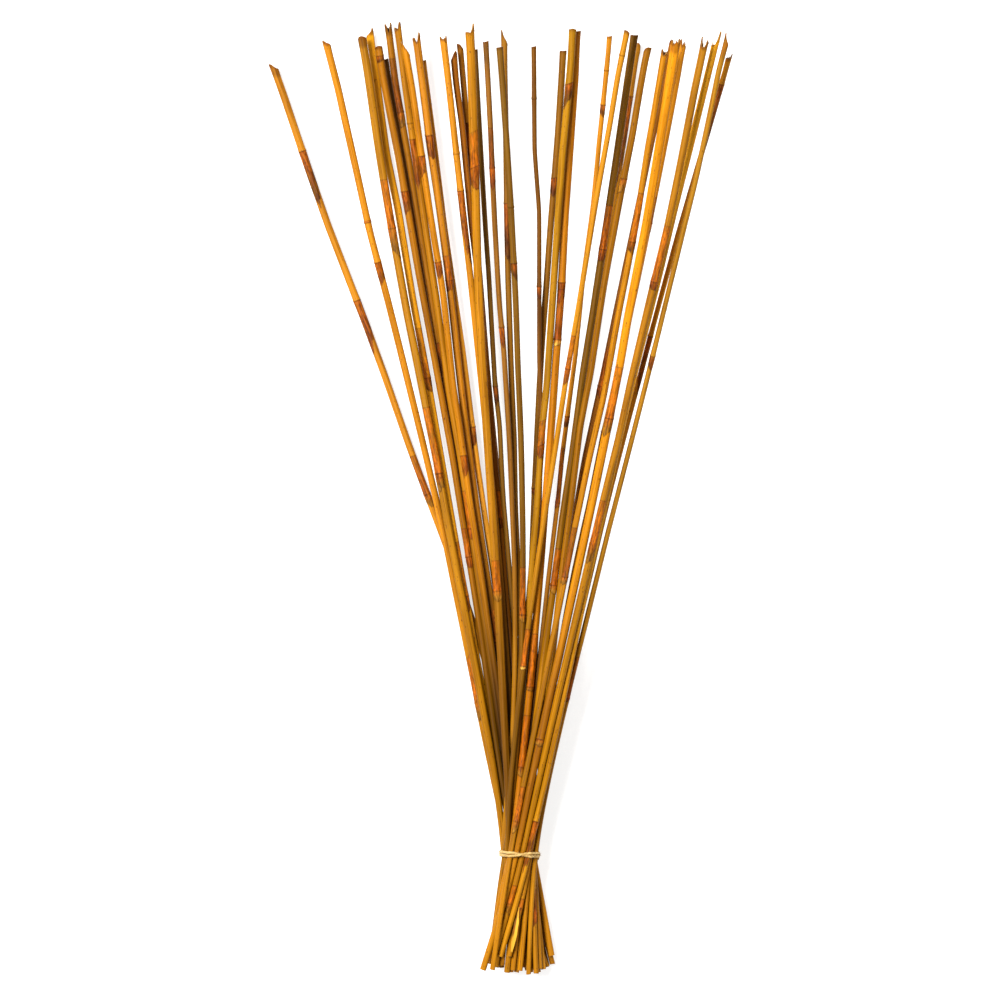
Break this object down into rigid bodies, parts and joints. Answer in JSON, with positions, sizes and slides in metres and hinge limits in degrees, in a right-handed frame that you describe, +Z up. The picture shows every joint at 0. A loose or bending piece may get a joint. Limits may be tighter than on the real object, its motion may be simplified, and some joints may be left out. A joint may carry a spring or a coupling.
{
  "type": "bunch of reeds",
  "caption": "Bunch of long dried reed stems lying on its side, fanned out at the tips and tied near the cut feet with a twisted raffia strand.",
  "frame": {"origin": "middle of the bounding box, on the surface the bunch lies on", "axes": "+Y along the bunch from the cut feet to the splayed tips, +X across the fan, +Z up from the surface"},
  "size_m": [0.4867, 1.0037, 0.1656],
  "materials": {
    "reed": "dried reed stem, smooth and satin, golden tan with browner sheath patches at the joints",
    "raffia": "twisted raffia strand, matte and fibrous, straw cream"
  },
  "bodies": {
    "root": {"raffia_tie": "raffia", "reed_01": "reed", "reed_02": "reed", "reed_03": "reed", "reed_04": "reed", "reed_05": "reed", "reed_06": "reed", "reed_07": "reed", "reed_08": "reed", "reed_09": "reed", "reed_10": "reed", "reed_11": "reed", "reed_12": "reed", "reed_13": "reed", "reed_14": "reed", "reed_15": "reed", "reed_16": "reed", "reed_17": "reed", "reed_18": "reed", "reed_19": "reed", "reed_20": "reed", "reed_21": "reed", "reed_22": "reed", "reed_23": "reed", "reed_24": "reed", "reed_25": "reed", "reed_26": "reed", "reed_27": "reed", "reed_28": "reed", "reed_29": "reed", "reed_30": "reed", "reed_31": "reed", "reed_32": "reed", "reed_33": "reed", "reed_34": "reed", "reed_35": "reed", "reed_36": "reed"}
  },
  "joints": []
}
